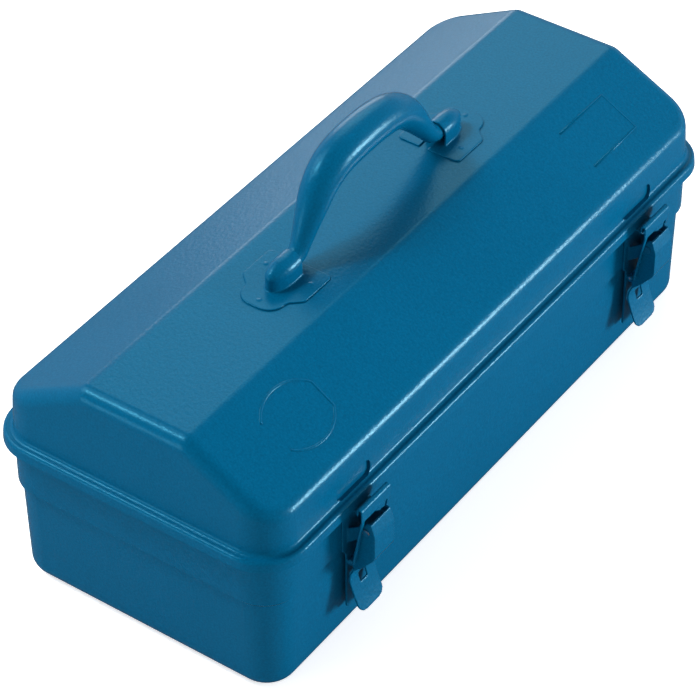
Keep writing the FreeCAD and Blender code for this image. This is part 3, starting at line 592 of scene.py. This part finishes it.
bail_rows = BAIL + [(-out, rise, thick, deep) for out, rise, thick, deep in BAIL[-2::-1]]


def ring_matrix(index):
    """Place, turn and girth of one ring, from the unit circle in the level plane."""
    out, rise, thick, deep = bail_rows[index]
    before = bail_rows[max(index - 1, 0)]
    after = bail_rows[min(index + 1, len(bail_rows) - 1)]
    slope = math.atan2(after[0] - before[0], after[1] - before[1])
    turn = Matrix.Rotation(slope, 4, "Y")
    return Matrix.Translation((out, 0, rise)) @ turn @ Matrix.Diagonal((thick / 2, deep / 2, 1, 1))


shape = bmesh.new()
bmesh.ops.create_circle(shape, cap_ends=True, segments=RING_POINTS, radius=1.0, matrix=ring_matrix(0))
edges = shape.edges[:]
for index in range(1, len(bail_rows)):
    grown = bmesh.ops.extrude_edge_only(shape, edges=edges)["geom"]
    ring = [part for part in grown if isinstance(part, bmesh.types.BMVert)]
    edges = [part for part in grown if isinstance(part, bmesh.types.BMEdge)]
    step = ring_matrix(index) @ ring_matrix(index - 1).inverted()
    bmesh.ops.transform(shape, matrix=step, verts=ring)
bmesh.ops.edgeloop_fill(shape, edges=edges)
stand = Matrix.Translation(handle_axis) @ Matrix.Rotation(-HANDLE_LEAN, 4, "X")
bmesh.ops.transform(shape, matrix=stand, verts=shape.verts)
bmesh.ops.recalc_face_normals(shape, faces=shape.faces)
handle = new_piece("handle_bail", shape, enamel, "handle_body")
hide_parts("handle")
swell = handle.modifiers.new("swell", "SUBSURF")
swell.levels = HANDLE_LEVELS
swell.render_levels = HANDLE_LEVELS
apply_modifiers(handle)
print("handle:", len(handle.data.polygons), "faces")

# %% [markdown]
# ## Outlines pressed in the front slope
# Two plain outlines stand out of the front slope of the lid: an oval with one straight side, open at
# its lower left, and three sides of an oblong. Each is a low round bead, as a press leaves it. Cut
# into the lid's mesh they would need many fine faces there. So each is a rod of its own, sunk into
# the lid for most of its thickness. Its line is dropped onto the lid, so it lies in the slope
# wherever that is.

# %% Outlines in the slope
BEAD_RADIUS = 0.001
BEAD_SINK = 0.00064         # its middle below the slope
BEAD_ROUNDNESS = 5
OVAL_INWARD = (0.0675, 0.0345)      # its middle from the lid's left end and front
OVAL_HALF_SIZES = (0.0222, 0.0153)
OVAL_TURNS = ((-145, -29), (24, 150))   # its two arcs in degrees; the straight side joins them
OVAL_STEPS = 32
OBLONG_INWARD = (0.068, 0.0348)     # its middle from the lid's right end and front
OBLONG_HALF_SIZES = (0.0212, 0.0112)
OBLONG_CORNERS = ((-1, 1), (1, 1), (1, -1), (-1, -1))
DROP_HEIGHT = 0.05          # above the lid's top, where a line is dropped from

lid = nodes["lid"]
lid_low, lid_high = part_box("lid")
oval_middle = (lid_low[0] + OVAL_INWARD[0], lid_low[1] + OVAL_INWARD[1])
oblong_middle = (lid_high[0] - OBLONG_INWARD[0], lid_low[1] + OBLONG_INWARD[1])


def on_lid(x, y):
    """The point on the outside of the lid under a place, sunk by a bead's depth."""
    _, point, normal, _ = lid.ray_cast((x, y, lid_high[2] + DROP_HEIGHT), (0, 0, -1))
    return point - normal * BEAD_SINK


def bead(name, outline):
    """A round bead along an outline on the lid, with closed ends."""
    line = bpy.data.curves.new(name, "CURVE")
    line.dimensions = "3D"
    line.bevel_depth = BEAD_RADIUS
    line.bevel_resolution = BEAD_ROUNDNESS
    line.use_fill_caps = True
    run = line.splines.new("POLY")
    run.points.add(len(outline) - 1)
    for point, (x, y) in zip(run.points, outline):
        point.co = (*on_lid(x, y), 1)
    drawn = bpy.data.objects.new(name + "_line", line)
    scene.collection.objects.link(drawn)
    bpy.context.view_layer.update()
    graph = bpy.context.evaluated_depsgraph_get()
    mesh = bpy.data.meshes.new_from_object(drawn.evaluated_get(graph))
    bpy.data.objects.remove(drawn)
    shape = bmesh.new()
    shape.from_mesh(mesh)
    bpy.data.meshes.remove(mesh)
    bmesh.ops.remove_doubles(shape, verts=shape.verts, dist=WELD_DISTANCE)
    bmesh.ops.recalc_face_normals(shape, faces=shape.faces)
    piece = new_piece(name, shape, enamel, "lid_body")
    piece.data.polygons.foreach_set("use_smooth", [True] * len(piece.data.polygons))
    print(name, len(piece.data.polygons), "faces")


def around(middle, half_sizes, across, along):
    """A point on an outline, from its middle and its half sizes."""
    return middle[0] + half_sizes[0] * across, middle[1] + half_sizes[1] * along


oval = []
for first, last in OVAL_TURNS:
    for step in range(OVAL_STEPS + 1):
        turn = math.radians(first + (last - first) * step / OVAL_STEPS)
        oval.append(around(oval_middle, OVAL_HALF_SIZES, math.cos(turn), math.sin(turn)))
oblong = [around(oblong_middle, OBLONG_HALF_SIZES, *corner) for corner in OBLONG_CORNERS]
bead("slope_oval", oval)
bead("slope_oblong", oblong)
